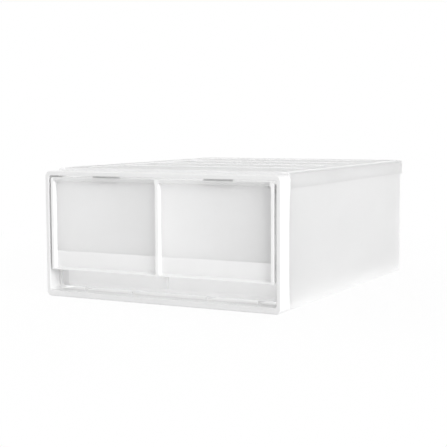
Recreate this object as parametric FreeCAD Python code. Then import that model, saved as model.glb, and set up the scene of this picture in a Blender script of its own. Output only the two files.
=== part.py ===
import FreeCAD, Part
import math
import os
from FreeCAD import Vector

# Stackable drawer box: a tub, a cover, a front frame and one sliding drawer.
# Millimetres. +X is to the right of someone facing the drawer, +Y goes to the back, +Z is up.
# The origin is at the middle of the box's footprint, on the surface that it stands on.

# Whole box
box_width = 372.0
box_depth = 490.0
stack_height = 180.0
overrun = 5.0

# Clearances
seat_gap = 0.3
cover_gap = 0.4
stack_gap = 0.8
slide_gap = 0.3
stop_gap = 0.3

# Front frame: a white ring, hollow from behind, with a skirt outside and a lining inside
rail_width = 6.0
sill_height = 8.3
frame_skin = 1.8
frame_web = 2.0
frame_corner = 7.0
opening_corner = 4.0
skirt_depth_top = 31.0
skirt_depth_waist = 26.0
skirt_depth_bottom = 29.0
waist_height = 85.0
lining_depth = 22.6
frame_edge_round = 1.5
opening_edge_round = 0.8

# Drawer stops: two tabs that hang from the frame's top rail behind the drawer front
tab_spacing = 178.0
tab_width = 44.0
tab_thickness = 2.0
tab_drop = 10.0
tab_gap = 2.8
tab_corner = 3.0
gusset_reach = 6.0
gusset_drop = 4.5
gusset_thickness = 1.8
gusset_inset = 8.0

# Tub: floor, sides and back in one moulding
tub_wall = 2.2
tub_back_corner = 6.0
tub_heel_round = 13.0
tub_inner_heel = 8.0
foot_ring_height = 4.6
floor_thickness = 2.2
tongue_thickness = 1.8
tongue_corner = 3.0
tongue_start = 15.0
tongue_top_margin = 2.0
runner_width = 3.0
runner_height = 3.4
runner_offsets = (60.0, 140.0)
runner_front_margin = 6.0
runner_end_margin = 10.0

# Cover: a skirt and a rim on three sides, and a groove inside the rim for the next box's foot ring
cover_wall = 2.2
cover_skirt = 18.5
cover_inset = 2.7
cover_corner = 8.0
cover_edge_round = 3.0
cover_rim_height = 3.0
cover_rim_gap = 0.6
cover_front_gap = 0.5
plateau_height = 3.8
plateau_corner = 6.0
plateau_edge_round = 1.2
plateau_front_margin = 2.0
plateau_heel_margin = 1.0
panel_border = 24.0
panel_recess = 1.2
panel_bar = 6.0
panel_corner = 5.0
panel_count = 4
cover_tongue_start = 3.0
cover_tongue_thickness = 1.8
cover_tongue_side_margin = 10.0

# Drawer bin
drawer_wall = 2.0
drawer_floor = 2.2
drawer_draft = 3.8
bin_corner = 9.0
bin_foot_round = 8.5
rim_width = 2.0
rim_thickness = 2.0
bin_side_clearance = 1.3
bin_height_clearance = 5.5

# Drawer front: two windows in a raised surround over a sloping ledge, with a finger grip under it
front_setback = 0.3
front_top_gap = 2.5
front_side_gap = 3.4
front_corner = 3.5
window_depth = 6.2
window_draft = 0.6
window_corner = 2.0
pane_thickness = 2.2
surround_width = 4.8
surround_wall = 2.0
surround_skin = 2.0
top_surround = 5.0
mullion_width = 5.6
mullion_wall = 1.8
ledge_height = 39.0
ledge_edge = 1.4
ledge_slope = 2.2
front_edge_round = 0.7
grip_depth = 26.5
grip_ceiling = 66.2
grip_rib_width = 6.3
grip_rib_reach = 5.2
grip_rib_wall = 1.8
curl_web = 2.4

# Places that several pieces share
half_width = box_width / 2
front_y = -box_depth / 2
back_y = box_depth / 2
opening_x = half_width - rail_width
opening_top = stack_height - rail_width
channel_x = half_width - frame_skin
cover_x = half_width - cover_inset
tub_x = cover_x - cover_wall - cover_gap
cavity_x = tub_x - tub_wall
tub_back_y = back_y - cover_wall - cover_gap
cavity_back_y = tub_back_y - tub_wall
margin_under = stack_height - cover_wall
cover_top = stack_height + plateau_height
floor_top = foot_ring_height + floor_thickness
ring_front_y = front_y + skirt_depth_bottom + seat_gap
ring_back_y = tub_back_y - tub_heel_round - tub_wall
shoulder_y = front_y + lining_depth + seat_gap
tub_front_y = shoulder_y + tub_wall
cover_front_y = front_y + skirt_depth_top + cover_front_gap
runner_top = floor_top + runner_height
drawer_base = runner_top + slide_gap
face_y = front_y + front_setback
plate_x = opening_x - front_side_gap
pane_front_y = face_y + window_depth
pane_back_y = pane_front_y + pane_thickness
tab_front_y = pane_back_y + tab_gap
tab_back_y = tab_front_y + tab_thickness
front_top = opening_top - front_top_gap
bin_top = opening_top - bin_height_clearance
rim_x = cavity_x - bin_side_clearance
bin_top_x = rim_x - rim_width
bin_back_y = cavity_back_y - stop_gap - rim_width
grip_wall_y = front_y + grip_depth

# The drawer is out when its back wall meets the stop tabs
drawer_travel = bin_back_y - drawer_wall - tab_back_y - stop_gap

# Share of a corner's radius between the square corner and the middle of its arc, each way
arc_middle_share = 1 - math.sqrt(0.5)

# Tolerance for finding edges
slack = 0.001

# Degrees
quarter_turn = 90


def block(x0, x1, y0, y1, z0, z1):
    """A plain box between two corners."""
    return Part.makeBox(x1 - x0, y1 - y0, z1 - z0, Vector(x0, y0, z0))


def outline(u0, u1, v0, v1, radii, place):
    """A closed rectangle with its own radius at each corner, from low-low round by high u."""
    corners = ((u0, v0, 1, 1), (u1, v0, -1, 1), (u1, v1, -1, -1), (u0, v1, 1, -1))
    stops = []
    for number, (u, v, du, dv) in enumerate(corners):
        radius = radii[number]
        bend = radius * arc_middle_share
        along_u = place(u + du * radius, v)
        along_v = place(u, v + dv * radius)
        ends = (along_v, along_u) if number % 2 == 0 else (along_u, along_v)
        stops.append((ends[0], place(u + du * bend, v + dv * bend), ends[1], radius))
    edges = []
    for number, (start, middle, end, radius) in enumerate(stops):
        if radius > 0:
            edges.append(Part.Arc(start, middle, end).toShape())
        following = stops[(number + 1) % len(stops)][0]
        edges.append(Part.makeLine(end, following))
    return Part.Wire(edges)


def upright_prism(x0, x1, z0, z1, radii, y0, y1):
    """A rounded rectangle seen from the front, from y0 to y1."""
    wire = outline(x0, x1, z0, z1, radii, lambda u, v: Vector(u, y0, v))
    return Part.Face(wire).extrude(Vector(0, y1 - y0, 0))


def plan_prism(x0, x1, y0, y1, radii, z0, z1):
    """A rounded rectangle seen from above, from z0 to z1."""
    wire = outline(x0, x1, y0, y1, radii, lambda u, v: Vector(u, v, z0))
    return Part.Face(wire).extrude(Vector(0, 0, z1 - z0))


def side_prism(y0, y1, z0, z1, radii, reach):
    """A rounded rectangle seen from the side, across the middle by reach each way."""
    wire = outline(y0, y1, z0, z1, radii, lambda u, v: Vector(-reach, u, v))
    return Part.Face(wire).extrude(Vector(2 * reach, 0, 0))


def drafted(bottom, top, radius):
    """A block whose rectangle changes from bottom to top; each is x, y0, y1 and z."""
    low_x, low_y0, low_y1, low_z = bottom
    high_x, high_y0, high_y1, high_z = top
    body = Part.makeWedge(
        -low_x, low_z, -low_y1, -high_y1, -high_x,
        low_x, high_z, -low_y0, -high_y0, high_x)
    body.rotate(Vector(0, 0, 0), Vector(1, 0, 0), quarter_turn)
    if radius > 0:
        body = body.makeFillet(radius, [edge for edge in body.Edges if edge.BoundBox.ZLength > slack])
    return body


def edges_at_y(shape, y):
    """The edges that lie in one plane facing the front."""
    found = []
    for edge in shape.Edges:
        box = edge.BoundBox
        if abs(box.YMin - y) < slack and abs(box.YMax - y) < slack:
            found.append(edge)
    return found


def edges_at_z(shape, z):
    """The edges that lie in one level plane."""
    found = []
    for edge in shape.Edges:
        box = edge.BoundBox
        if abs(box.ZMin - z) < slack and abs(box.ZMax - z) < slack:
            found.append(edge)
    return found


def stop_tab(middle_x):
    """One tab of the frame with a gusset near each end."""
    x0 = middle_x - tab_width / 2
    x1 = middle_x + tab_width / 2
    low = opening_top - tab_drop
    high = opening_top + frame_skin / 2
    tab = upright_prism(x0, x1, low, high, (tab_corner, tab_corner, 0, 0), tab_front_y, tab_back_y)
    for x in (x0 + gusset_inset, x1 - gusset_inset - gusset_thickness):
        points = (
            Vector(x, tab_front_y, high),
            Vector(x, tab_front_y, opening_top - gusset_drop),
            Vector(x, tab_back_y, opening_top - gusset_drop),
            Vector(x, tab_back_y + gusset_reach, opening_top),
            Vector(x, tab_back_y + gusset_reach, high),
        )
        wire = Part.makePolygon(points + points[:1])
        tab = tab.fuse(Part.Face(wire).extrude(Vector(gusset_thickness, 0, 0)))
    return tab


def skirt_trim():
    """What is behind the frame's skirt, whose back edge is one shallow arc from sill to top."""
    low = Vector(-half_width - overrun, front_y + skirt_depth_bottom, 0)
    waist = Vector(-half_width - overrun, front_y + skirt_depth_waist, waist_height)
    high = Vector(-half_width - overrun, front_y + skirt_depth_top, stack_height)
    up = Vector(0, 0, overrun)
    far = Vector(0, box_depth, 0)
    edges = [Part.Arc(low, waist, high).toShape()]
    corners = (high, high + up, high + up + far, low - up + far, low - up, low)
    for start, end in zip(corners, corners[1:]):
        edges.append(Part.makeLine(start, end))
    return Part.Face(Part.Wire(edges)).extrude(Vector(box_width + 2 * overrun, 0, 0))


def front_frame():
    """The white ring round the opening, with a sill, a hollow back and two stop tabs."""
    back = front_y + skirt_depth_top + overrun
    web_y = front_y + frame_web
    ring = upright_prism(-half_width, half_width, 0, stack_height, (frame_corner,) * 4, front_y, back)
    hollow = upright_prism(
        -channel_x, channel_x, frame_skin, stack_height - frame_skin,
        (frame_corner - frame_skin,) * 4, web_y, back)
    lining = upright_prism(
        -opening_x - frame_skin, opening_x + frame_skin, sill_height - frame_skin,
        opening_top + frame_skin, (opening_corner + frame_skin,) * 4, front_y, front_y + lining_depth)
    opening = upright_prism(
        -opening_x, opening_x, sill_height, opening_top, (opening_corner,) * 4,
        front_y - overrun, back)
    frame = ring.cut(skirt_trim()).cut(hollow).fuse(lining).cut(opening)
    frame = frame.removeSplitter()
    face_edges = edges_at_y(frame, front_y)
    inside = [e for e in face_edges if abs(e.CenterOfMass.x) < opening_x + slack
              and sill_height - slack < e.CenterOfMass.z < opening_top + slack]
    outside = [e for e in face_edges if not any(e.isSame(other) for other in inside)]
    frame = frame.makeFillet(frame_edge_round, outside)
    rims = [e for e in edges_at_y(frame, front_y) if abs(e.CenterOfMass.x) < opening_x + slack
            and sill_height - slack < e.CenterOfMass.z < opening_top + slack]
    frame = frame.makeFillet(opening_edge_round, rims)
    for side in (-1, 1):
        frame = frame.fuse(stop_tab(side * tab_spacing / 2))
    return frame.removeSplitter()


def tub_tongue():
    """The joggled edge round the tub's open front, which slots into the frame's hollow."""
    outer_x = channel_x - seat_gap
    inner_x = outer_x - tongue_thickness
    top = opening_top - tongue_top_margin
    start = front_y + tongue_start
    tongue = upright_prism(
        -outer_x, outer_x, foot_ring_height, top, (tongue_corner, tongue_corner, 0, 0),
        start, tub_front_y)
    low = sill_height - frame_skin - seat_gap
    gap = block(-inner_x, inner_x, start - overrun, shoulder_y, low, top + overrun)
    return tongue.cut(gap)


def case_tub():
    """Floor, sides and back in one moulding, with a foot ring below and runners inside."""
    top = margin_under
    side_view = side_prism(
        tub_front_y - tub_wall, tub_back_y, 0, top, (0, tub_heel_round, 0, 0), tub_x)
    plan_view = plan_prism(
        -tub_x, tub_x, tub_front_y - tub_wall, tub_back_y,
        (0, 0, tub_back_corner, tub_back_corner), 0, top)
    tub = side_view.common(plan_view)
    tub = tub.fuse(tub_tongue())
    cavity_side = side_prism(
        shoulder_y - overrun, cavity_back_y, floor_top, top + overrun,
        (0, tub_inner_heel, 0, 0), cavity_x)
    cavity_plan = plan_prism(
        -cavity_x, cavity_x, shoulder_y - overrun, cavity_back_y,
        (0, 0, tub_back_corner - tub_wall, tub_back_corner - tub_wall), 0, top + overrun)
    cavity = cavity_side.common(cavity_plan)
    foot_recess = block(
        -cavity_x, cavity_x, ring_front_y + tub_wall, ring_back_y, -overrun, foot_ring_height)
    low_notch = block(-half_width, half_width, front_y, ring_front_y, -overrun, foot_ring_height)
    high_notch = block(
        -half_width, half_width, front_y, cover_front_y, opening_top - tongue_top_margin, top + overrun)
    tub = tub.cut(cavity).cut(foot_recess).cut(low_notch).cut(high_notch)
    for offset in runner_offsets:
        for side in (-1, 1):
            x = side * offset - runner_width / 2
            tub = tub.fuse(block(
                x, x + runner_width, tub_front_y + runner_front_margin,
                cavity_back_y - tub_inner_heel - runner_end_margin,
                floor_top - floor_thickness / 2, runner_top))
    return tub.removeSplitter()


def cover_panels(plateau_x, plateau_y0, plateau_y1):
    """The shallow panels in the plateau, one behind the other."""
    x = plateau_x - panel_border
    first = plateau_y0 + panel_border
    last = plateau_y1 - panel_border
    pitch = (last - first + panel_bar) / panel_count
    panels = []
    for number in range(panel_count):
        y = first + number * pitch
        panels.append(plan_prism(
            -x, x, y, y + pitch - panel_bar, (panel_corner,) * 4,
            cover_top - panel_recess, cover_top + overrun))
    return panels


def cover_groove():
    """What is open above the lid's margin, where the foot ring of the next box stands in the rim."""
    x = tub_x + cover_rim_gap
    corner = cover_corner - (cover_x - x)
    return plan_prism(
        -x, x, cover_front_y - overrun, tub_back_y + cover_rim_gap, (0, 0, corner, corner),
        stack_height, cover_top + overrun)


def top_cover():
    """The lid: a skirt and a rim on three sides, and a plateau that locates the next box."""
    skirt_low = stack_height - cover_skirt
    rim_top = stack_height + cover_rim_height
    body = plan_prism(
        -cover_x, cover_x, cover_front_y, back_y, (0, 0, cover_corner, cover_corner),
        skirt_low, rim_top)
    plateau_x = cavity_x - stack_gap
    plateau_y0 = cover_front_y + plateau_front_margin
    plateau_y1 = ring_back_y - plateau_heel_margin
    rim_edges = [e for e in edges_at_z(body, rim_top) if e.CenterOfMass.y > cover_front_y + slack]
    body = body.makeFillet(cover_edge_round, rim_edges).cut(cover_groove())
    plateau = plan_prism(
        -plateau_x, plateau_x, plateau_y0, plateau_y1, (plateau_corner,) * 4,
        stack_height - cover_wall, cover_top)
    plateau = plateau.makeFillet(plateau_edge_round, edges_at_z(plateau, cover_top))
    body = body.fuse(plateau)
    inside = plan_prism(
        -cover_x + cover_wall, cover_x - cover_wall, cover_front_y - overrun, back_y - cover_wall,
        (0, 0, cover_corner - cover_wall, cover_corner - cover_wall),
        skirt_low - overrun, margin_under)
    ceiling = cover_top - panel_recess - cover_wall
    under_plateau = plan_prism(
        -plateau_x + cover_wall, plateau_x - cover_wall, plateau_y0 + cover_wall,
        plateau_y1 - cover_wall, (plateau_corner - cover_wall,) * 4, margin_under - overrun, ceiling)
    body = body.cut(inside).cut(under_plateau)
    for panel in cover_panels(plateau_x, plateau_y0, plateau_y1):
        body = body.cut(panel)
    tongue_low = opening_top + frame_skin + seat_gap
    tongue_x = opening_x - cover_tongue_side_margin
    tongue = block(
        -tongue_x, tongue_x, front_y + cover_tongue_start, cover_front_y + cover_wall,
        tongue_low, tongue_low + cover_tongue_thickness)
    shoulder = block(
        -tongue_x, tongue_x, cover_front_y, cover_front_y + cover_wall, tongue_low, stack_height)
    return body.fuse(tongue).fuse(shoulder).removeSplitter()


def bin_half_width(z):
    """Half the drawer's width outside, which grows with height for the mould's draft."""
    share = (z - drawer_base) / (bin_top - drawer_base)
    return bin_top_x - drawer_draft * (1 - share)


def bin_back(z):
    """The drawer's back face, which leans the same way."""
    share = (z - drawer_base) / (bin_top - drawer_base)
    return bin_back_y - drawer_draft * (1 - share)


def grip_wall():
    """The grip's back wall, wider than the bin, with the same round at its foot."""
    behind = grip_wall_y + bin_foot_round + drawer_wall
    wall = side_prism(
        grip_wall_y, behind, drawer_base, ledge_height, (bin_foot_round, 0, 0, 0), rim_x)
    return wall.cut(side_prism(
        grip_wall_y + drawer_wall, behind + overrun, drawer_base + drawer_wall, ledge_height + overrun,
        (bin_foot_round - drawer_wall, 0, 0, 0), rim_x + overrun))


def drawer_bin():
    """The box of the drawer with the grip's recess across the foot of its front."""
    low = (bin_half_width(drawer_base), grip_wall_y, bin_back(drawer_base), drawer_base)
    high = (bin_half_width(bin_top), grip_wall_y, bin_back(bin_top), bin_top)
    body = drafted(low, high, bin_corner)
    body = body.makeFillet(bin_foot_round, edges_at_z(body, drawer_base))
    behind = grip_wall_y + bin_corner + drawer_wall
    low = (bin_half_width(ledge_height), pane_front_y, behind, ledge_height)
    high = (bin_half_width(bin_top), pane_front_y, behind, bin_top)
    body = body.fuse(drafted(low, high, 0)).fuse(grip_wall())
    rim = plan_prism(
        -rim_x, rim_x, pane_back_y, bin_back_y + rim_width,
        (0, 0, bin_corner + rim_width, bin_corner + rim_width), bin_top - rim_thickness, bin_top)
    body = body.fuse(rim)
    return body


def drawer_inside():
    """What is hollow in the drawer: the bin, and the space over the grip behind the panes."""
    floor = drawer_base + drawer_floor
    roof = bin_top + overrun
    radius = bin_corner - drawer_wall
    low = (bin_half_width(floor) - drawer_wall, grip_wall_y + drawer_wall,
           bin_back(floor) - drawer_wall, floor)
    high = (bin_half_width(roof) - drawer_wall, grip_wall_y + drawer_wall,
            bin_back(roof) - drawer_wall, roof)
    inside = drafted(low, high, radius)
    inside = inside.makeFillet(bin_foot_round - drawer_wall, edges_at_z(inside, floor))
    behind = grip_wall_y + bin_corner + drawer_wall
    low = (bin_half_width(grip_ceiling) - drawer_wall, pane_back_y, behind, grip_ceiling)
    high = (bin_half_width(roof) - drawer_wall, pane_back_y, behind, roof)
    return inside.fuse(drafted(low, high, 0))


def window_pockets():
    """The two windows: pockets that narrow a little towards the pane, over the ledge's slope."""
    outer = plate_x - surround_width
    low = ledge_height + ledge_edge
    high = front_top - top_surround
    start = (face_y - overrun, -overrun / window_depth)
    end = (pane_front_y, 1)
    pockets = []
    for x0, x1 in ((-outer, -mullion_width / 2), (mullion_width / 2, outer)):
        sizes = []
        for y, share in (start, end):
            inset = window_draft * share
            sizes.append((x0 + inset, x1 - inset, y, low + ledge_slope * share, high - inset))
        (u0, u1, y0, v0, v1), (far_u0, far_u1, y1, far_v0, far_v1) = sizes
        pocket = Part.makeWedge(u0, y0, v0, far_v0, far_u0, u1, y1, v1, far_v1, far_u1)
        corners = [edge for edge in pocket.Edges if edge.BoundBox.YLength > window_depth]
        pockets.append(pocket.makeFillet(window_corner, corners))
    return pockets


def drawer_front():
    """The front: a thin flange, and the walls of its windows standing back from it."""
    flange = upright_prism(
        -plate_x, plate_x, ledge_height, front_top, (0, 0, front_corner, front_corner),
        face_y, face_y + surround_skin)
    wall_x = plate_x - surround_width + surround_wall
    walls = block(-wall_x, wall_x, face_y, pane_back_y, ledge_height, bin_top)
    plate = flange.fuse(walls).removeSplitter()
    for pocket in window_pockets():
        plate = plate.cut(pocket)
    plate = plate.makeFillet(front_edge_round, edges_at_y(plate, face_y))
    half_groove = mullion_width / 2 - mullion_wall
    groove_top = bin_top - rim_thickness - surround_skin
    return plate.cut(block(
        -half_groove, half_groove, face_y + surround_skin, pane_back_y + overrun,
        grip_ceiling, groove_top))


def finger_space():
    """The space that the fingers curl up into, behind the foot of the panes."""
    x = bin_half_width(ledge_height) - drawer_wall
    ceiling = grip_ceiling - drawer_wall
    space = block(-x, x, pane_back_y, grip_wall_y, ledge_height - overrun, ceiling)
    web = block(-curl_web / 2, curl_web / 2, pane_back_y, grip_wall_y, ledge_height, ceiling)
    return space.cut(web)


def grip_rib():
    """The hollow rib down the middle of the grip's back wall, open to the inside of the bin."""
    half = grip_rib_width / 2
    rib_y = grip_wall_y - grip_rib_reach
    rib_low = drawer_base + bin_foot_round
    rib = block(-half, half, rib_y, grip_wall_y + drawer_wall / 2, rib_low, grip_ceiling)
    hollow = block(
        grip_rib_wall - half, half - grip_rib_wall,
        rib_y + grip_rib_wall, grip_wall_y + drawer_wall + overrun,
        rib_low + grip_rib_wall, grip_ceiling + overrun)
    return rib, hollow


def drawer():
    """The sliding drawer, one moulding."""
    rib, hollow = grip_rib()
    body = drawer_bin().fuse(drawer_front())
    body = body.cut(drawer_inside()).cut(finger_space())
    return body.fuse(rib).cut(hollow).removeSplitter()


pieces = {
    "front_frame": front_frame,
    "case_tub": case_tub,
    "top_cover": top_cover,
    "drawer": drawer,
}

os.makedirs("parts", exist_ok=True)
for name, make in pieces.items():
    solid = make()
    solid.exportStep("parts/" + name + ".step")
    print(name, "solids", len(solid.Solids), "valid", solid.isValid(),
          "volume cm3 %.1f" % (solid.Volume / 1000), "faces", len(solid.Faces))
print("drawer travel mm %.2f" % drawer_travel)
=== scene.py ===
import math

import bpy
from mathutils import Matrix, Vector


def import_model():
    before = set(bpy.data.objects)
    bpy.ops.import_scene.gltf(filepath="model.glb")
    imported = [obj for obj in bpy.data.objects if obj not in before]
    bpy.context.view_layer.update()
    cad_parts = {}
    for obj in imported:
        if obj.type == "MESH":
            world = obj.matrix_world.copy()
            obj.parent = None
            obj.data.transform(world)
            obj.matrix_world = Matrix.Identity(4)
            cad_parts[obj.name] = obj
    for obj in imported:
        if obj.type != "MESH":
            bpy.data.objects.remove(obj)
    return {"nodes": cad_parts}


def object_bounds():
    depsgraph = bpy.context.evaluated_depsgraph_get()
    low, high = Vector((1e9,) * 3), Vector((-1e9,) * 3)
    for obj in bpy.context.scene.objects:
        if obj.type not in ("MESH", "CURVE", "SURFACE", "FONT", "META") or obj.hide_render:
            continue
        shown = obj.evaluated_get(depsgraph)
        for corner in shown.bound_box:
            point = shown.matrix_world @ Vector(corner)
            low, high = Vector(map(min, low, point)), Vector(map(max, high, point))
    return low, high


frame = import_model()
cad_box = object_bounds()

# The scene is in metres: +X to the right of someone facing the drawer, +Y to the back, +Z up.
# Depths, insets and drops are measured inwards from these sides of the box, and heights from its base.
FRONT = cad_box[0][1]
RIGHT, BACK, TOP = cad_box[1]

# Camera, fitted to the edges in the photograph
CAMERA_PLACE = Vector((0.7881, -1.5390, 0.2536))
CAMERA_YAW = math.radians(27.893)
CAMERA_PITCH = math.radians(5.376)
CAMERA_ROLL = math.radians(-0.291)
CAMERA_CLIP = (0.05, 50.0)
FOCAL_PIXELS = 1116.0
IMAGE_PIXELS = 447
SENSOR_MM = 36.0

# Floor, with a faint shadow that fades out between two distances from the middle of the box
FLOOR_SIZE = 14.0
FLOOR_COLOUR = (0.9, 0.9, 0.9, 1)
FLOOR_SHADOW_REACH = (0.25, 0.9)
FLOOR_SHADOW_SHARE = 0.07

# Light
WHITE = (1, 1, 1, 1)
WHITE_STRENGTH = 1.0
WORLD_STRENGTH = 0.71
KEY_PLACE = (4.6, -1.8, 1.6)
KEY_AIM = (0.1, 0.0, 0.1)
KEY_SIZE = (2.4, 2.4)
KEY_WATTS = 148
SIDE_PLACE = (-3.0, 0.2, 1.4)
SIDE_AIM = (-0.1, 0.0, 0.1)
SIDE_SIZE = (1.6, 1.6)
SIDE_WATTS = 42

# Plastics: colour, share of light let through, roughness
CASE_LOOK = ((0.977, 0.977, 0.977), 0.82, 0.45)
COVER_LOOK = ((0.943, 0.943, 0.943), 0.88, 0.45)
DRAWER_LOOK = ((0.985, 0.985, 0.985), 0.94, 0.35)
WHITE_LOOK = ((0.84, 0.84, 0.84), 0.02, 0.32)
PLASTIC_IOR = 1.49

# The parts of the drawer's front and the light that they let through: little at its thick edges and
# mullion, more at the foot of its panes, and most at the windows over that foot
FACE_DEPTH = 0.0095
PANE_INSET = 0.0149
MULLION_HALF = 0.0035
PANE_HEIGHT = 0.0430
WINDOW_HEIGHT = 0.0655
EDGE_THROUGH = 0.12
FOOT_THROUGH = 0.27
WINDOW_THROUGH = 0.7

# Painted shade: each window's colour gets a little darker from its left to its right
WINDOW_PITCH = 0.1755
WINDOW_PAINTED_SHADE = 0.09

# Painted shade: the bin's side walls are painted a little darker, so that they show against white when
# the drawer is open
BIN_WALL_INSET = 0.0195
BIN_WALL_PAINTED_SHADE = 0.075

# Painted shade: the lid's rim is painted a little darker than the lid, or else its edges would be too
# bright
RIM_INSET = 0.0060
RIM_DEPTH = 0.0032
RIM_DROP = 0.0032
RIM_PAINTED_SHADE = 0.055

# The front edges of tub and lid sit in the frame, so less light comes through them
FRAMED_EDGE_DEPTHS = (0.0295, 0.0400)
FRAMED_EDGE_THROUGH = 0.3

# Grain and flow marks of the mouldings, with scales in cycles a metre
NOISE_DETAIL = 3.0
NOISE_RANGE = (0.3, 0.7)
GRAIN_SCALE = 1100
GRAIN_BUMP = 0.06
GRAIN_ROUGHNESS = 0.08
FLOW_SCALE = 14
FLOW_BUMP = 0.1
FLOW_SHADE = 0.012
BUMP_DISTANCE = 0.0004


class Nodes:
    """A short way to build a node tree."""

    def __init__(self, tree):
        self.tree = tree
        tree.nodes.clear()

    def add(self, kind, *values, operation=None, **sockets):
        """A new node, with values for its first sockets, for named ones, or both."""
        node = self.tree.nodes.new(kind)
        if operation is not None:
            node.operation = operation
        for number, value in enumerate(values):
            self.set(node.inputs[number], value)
        for name, value in sockets.items():
            self.set(node.inputs[name.replace("_", " ")], value)
        return node

    def set(self, socket, value):
        """Gives a socket its value, or links it to another node's socket."""
        if isinstance(value, bpy.types.NodeSocket):
            self.tree.links.new(value, socket)
        else:
            socket.default_value = value

    def math(self, operation, *values):
        return self.add("ShaderNodeMath", *values, operation=operation).outputs[0]

    def above(self, value, limit):
        """1 where the value is over the limit, or else 0."""
        return self.math("GREATER_THAN", value, limit)

    def below(self, value, limit):
        """1 where the value is under the limit, or else 0."""
        return self.math("LESS_THAN", value, limit)

    def both(self, first, second):
        return self.math("MULTIPLY", first, second)

    def either(self, first, second):
        return self.math("MAXIMUM", first, second)

    def ramp(self, value, start, end, low, high):
        """The value carried from one range to another, and held at its ends."""
        return self.add("ShaderNodeMapRange", value, start, end, low, high).outputs["Result"]

    def darker(self, zone, share):
        """The light that is kept: all of it outside a zone, and less by a share inside."""
        return self.ramp(zone, 0, 1, 1, 1 - share)

    def blend(self, share, first, second):
        """A value between two others, by a share."""
        return self.add("ShaderNodeMix", Factor=share, A=first, B=second).outputs["Result"]

    def scaled(self, colour, share):
        """A colour made darker: the share of it that is kept."""
        node = self.add("ShaderNodeVectorMath", colour, operation="SCALE", Scale=share)
        return node.outputs["Vector"]

    def length(self, vector):
        return self.add("ShaderNodeVectorMath", vector, operation="LENGTH").outputs["Value"]

    def place(self):
        """The place on the piece."""
        return self.add("ShaderNodeTexCoord").outputs["Object"]

    def coordinates(self):
        """The place on the piece as its three coordinates."""
        return self.add("ShaderNodeSeparateXYZ", self.place()).outputs

    def noise(self, scale):
        node = self.add("ShaderNodeTexNoise", Vector=self.place(), Scale=scale, Detail=NOISE_DETAIL)
        return node.outputs["Fac"]

    def bump(self, strength, height, **normal):
        """The normal of a surface with small heights, on top of another normal if one is given."""
        node = self.add(
            "ShaderNodeBump", Strength=strength, Distance=BUMP_DISTANCE, Height=height, **normal)
        return node.outputs["Normal"]

    def mix(self, share, first, second):
        """A shader between two others, by a share."""
        return self.add("ShaderNodeMixShader", share, first, second).outputs[0]

    def finish(self, shader):
        in_world = isinstance(self.tree.id_data, bpy.types.World)
        output = self.add("ShaderNodeOutputWorld" if in_world else "ShaderNodeOutputMaterial")
        self.set(output.inputs["Surface"], shader)


def new_material(name):
    material = bpy.data.materials.new(name)
    material.use_nodes = True
    return material, Nodes(material.node_tree)


def moulded_surface(nodes, colour, roughness):
    """A moulding's own unevenness: its colour, roughness and normal as sockets."""
    grain = nodes.noise(GRAIN_SCALE)
    flow = nodes.noise(FLOW_SCALE)
    shade = nodes.scaled(colour, nodes.ramp(flow, *NOISE_RANGE, 1 - FLOW_SHADE, 1))
    uneven = nodes.ramp(grain, *NOISE_RANGE, roughness - GRAIN_ROUGHNESS, roughness + GRAIN_ROUGHNESS)
    waves = nodes.bump(FLOW_BUMP, flow)
    return shade, uneven, nodes.bump(GRAIN_BUMP, grain, Normal=waves)


def plastic(name, look, through_zones=None, painted_shade_zones=None):
    """Milky plastic: a share of each surface sends light on, scattered.

    The zones are functions that change that share, or darken the colour with painted shade, on parts of
    the piece.
    """
    colour, through, roughness = look
    material, nodes = new_material(name)
    if through_zones is not None:
        through = through_zones(nodes, through)
    colour, roughness, normal = moulded_surface(nodes, colour, roughness)
    # Painted shade from the zones darkens the colour here
    if painted_shade_zones is not None:
        colour = nodes.scaled(colour, painted_shade_zones(nodes))
    surface = nodes.add(
        "ShaderNodeBsdfPrincipled", Base_Color=colour, Roughness=roughness, IOR=PLASTIC_IOR,
        Normal=normal)
    beyond = nodes.add("ShaderNodeBsdfTranslucent", Color=colour, Normal=normal)
    nodes.finish(nodes.mix(through, surface.outputs[0], beyond.outputs[0]))
    return material


def white_plastic():
    return plastic("white_plastic", WHITE_LOOK)


def framed_edge(nodes, through):
    """Less light comes through the front edge of the tub or the lid, where the frame covers it."""
    start, end = (FRONT + depth for depth in FRAMED_EDGE_DEPTHS)
    return nodes.ramp(nodes.coordinates()[1], start, end, FRAMED_EDGE_THROUGH, through)


def frosted_case():
    return plastic("frosted_case", CASE_LOOK, framed_edge)


def lid_rim_painted_shade(nodes):
    """Painted shade on the lid's rim, along its sides and its back: its colour keeps less of the light.
    """
    x, y, z = nodes.coordinates()
    side = nodes.above(nodes.math("ABSOLUTE", x), RIGHT - RIM_INSET)
    outside = nodes.either(side, nodes.above(y, BACK - RIM_DEPTH))
    return nodes.darker(nodes.both(outside, nodes.above(z, TOP - RIM_DROP)), RIM_PAINTED_SHADE)


def frosted_cover():
    # The lid's colour gets painted shade on its rim
    return plastic("frosted_cover", COVER_LOOK, framed_edge, lid_rim_painted_shade)


def drawer_face(nodes):
    """1 on the drawer's front, and 0 on its bin."""
    return nodes.below(nodes.coordinates()[1], FRONT + FACE_DEPTH)


def drawer_panes(nodes, height):
    """1 on the panes in the drawer's front over a height, or else 0."""
    x, _, z = nodes.coordinates()
    side = nodes.math("ABSOLUTE", x)
    between = nodes.both(nodes.above(side, MULLION_HALF), nodes.below(side, RIGHT - PANE_INSET))
    return nodes.both(drawer_face(nodes), nodes.both(between, nodes.above(z, height)))


def drawer_through(nodes, through):
    """Less light comes through the drawer's front, and least through its thick edges."""
    through = nodes.blend(drawer_face(nodes), through, EDGE_THROUGH)
    through = nodes.blend(drawer_panes(nodes, PANE_HEIGHT), through, FOOT_THROUGH)
    return nodes.blend(drawer_panes(nodes, WINDOW_HEIGHT), through, WINDOW_THROUGH)


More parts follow.
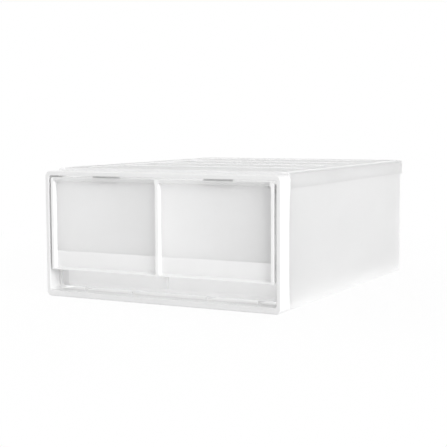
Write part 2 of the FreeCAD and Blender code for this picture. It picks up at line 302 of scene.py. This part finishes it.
def drawer_painted_shade(nodes):
    """Painted shade: the colour keeps less light to the right of each window, and in the bin's side
    walls.
    """
    x, y, _ = nodes.coordinates()
    across = nodes.math("FRACT", nodes.math("DIVIDE", x, WINDOW_PITCH))
    # Painted shade across each window, darker towards its right
    fade = nodes.darker(nodes.both(across, drawer_panes(nodes, WINDOW_HEIGHT)), WINDOW_PAINTED_SHADE)
    # Painted shade on the bin's side walls
    outside = nodes.above(nodes.math("ABSOLUTE", x), RIGHT - BIN_WALL_INSET)
    wall = nodes.both(outside, nodes.above(y, FRONT + FACE_DEPTH))
    return nodes.math("MULTIPLY", fade, nodes.darker(wall, BIN_WALL_PAINTED_SHADE))


def frosted_drawer():
    # The drawer's colour gets painted shade on its windows and its bin's side walls
    return plastic("frosted_drawer", DRAWER_LOOK, drawer_through, drawer_painted_shade)


def dress(node, material):
    for slot in frame["nodes"][node].material_slots:
        slot.material = material


def camera():
    """The camera at the photograph's angle, turned a little about its own axis."""
    yaw, pitch, roll = CAMERA_YAW, CAMERA_PITCH, CAMERA_ROLL
    ahead = Vector((-math.sin(yaw) * math.cos(pitch), math.cos(yaw) * math.cos(pitch), -math.sin(pitch)))
    right = Vector((math.cos(yaw), math.sin(yaw), 0))
    up = right.cross(ahead)
    rolled_right = right * math.cos(roll) + up * math.sin(roll)
    rolled_up = up * math.cos(roll) - right * math.sin(roll)
    data = bpy.data.cameras.new("camera")
    data.sensor_width = SENSOR_MM
    data.sensor_fit = "HORIZONTAL"
    data.lens = FOCAL_PIXELS * SENSOR_MM / IMAGE_PIXELS
    data.clip_start, data.clip_end = CAMERA_CLIP
    obj = bpy.data.objects.new("camera", data)
    turn = Matrix((rolled_right, rolled_up, -ahead)).transposed()
    obj.matrix_world = Matrix.Translation(CAMERA_PLACE) @ turn.to_4x4()
    bpy.context.scene.collection.objects.link(obj)
    bpy.context.scene.camera = obj


def seen_white(nodes, direct=None):
    """1 for what is seen in gloss, through plastic or directly, or else 0.

    What is seen directly gets the share given as direct instead of 1.
    """
    path = nodes.add("ShaderNodeLightPath")
    through = nodes.either(path.outputs["Is Glossy Ray"], path.outputs["Is Transmission Ray"])
    seen = path.outputs["Is Camera Ray"]
    if direct is not None:
        seen = nodes.both(seen, direct)
    return nodes.either(through, seen)


def floor():
    """A pale floor that shows white, with the box's soft shadow kept near the box."""
    mesh = bpy.data.meshes.new("floor")
    half = FLOOR_SIZE / 2
    points = [(-half, -half, 0), (half, -half, 0), (half, half, 0), (-half, half, 0)]
    mesh.from_pydata(points, [], [(0, 1, 2, 3)])
    obj = bpy.data.objects.new("floor", mesh)
    bpy.context.scene.collection.objects.link(obj)
    material, nodes = new_material("floor_white")
    near, far = FLOOR_SHADOW_REACH
    fade = nodes.ramp(nodes.length(nodes.place()), near, far, 1 - FLOOR_SHADOW_SHARE, 1)
    matt = nodes.add("ShaderNodeBsdfDiffuse", Color=FLOOR_COLOUR)
    glow = nodes.add("ShaderNodeEmission", Color=WHITE, Strength=WHITE_STRENGTH)
    nodes.finish(nodes.mix(seen_white(nodes, fade), matt.outputs[0], glow.outputs[0]))
    mesh.materials.append(material)


def world():
    """Soft light from all round, and white behind the box."""
    data = bpy.data.worlds.new("studio")
    bpy.context.scene.world = data
    data.use_nodes = True
    nodes = Nodes(data.node_tree)
    light = nodes.add("ShaderNodeBackground", Color=WHITE, Strength=WORLD_STRENGTH)
    white = nodes.add("ShaderNodeBackground", Color=WHITE, Strength=WHITE_STRENGTH)
    nodes.finish(nodes.mix(seen_white(nodes), light.outputs[0], white.outputs[0]))


def area_light(name, place, aim, size, watts):
    """A soft light in one place that shines towards another."""
    data = bpy.data.lights.new(name, "AREA")
    data.shape = "RECTANGLE"
    data.size, data.size_y = size
    data.energy = watts
    obj = bpy.data.objects.new(name, data)
    obj.location = place
    obj.rotation_euler = (Vector(aim) - Vector(place)).to_track_quat("-Z", "Y").to_euler()
    bpy.context.scene.collection.objects.link(obj)


camera()
floor()
world()
area_light("key", KEY_PLACE, KEY_AIM, KEY_SIZE, KEY_WATTS)
area_light("side", SIDE_PLACE, SIDE_AIM, SIDE_SIZE, SIDE_WATTS)

dress("front_frame", white_plastic())
dress("case_tub", frosted_case())
dress("top_cover", frosted_cover())
dress("drawer", frosted_drawer())

bpy.context.scene.view_settings.view_transform = "Standard"
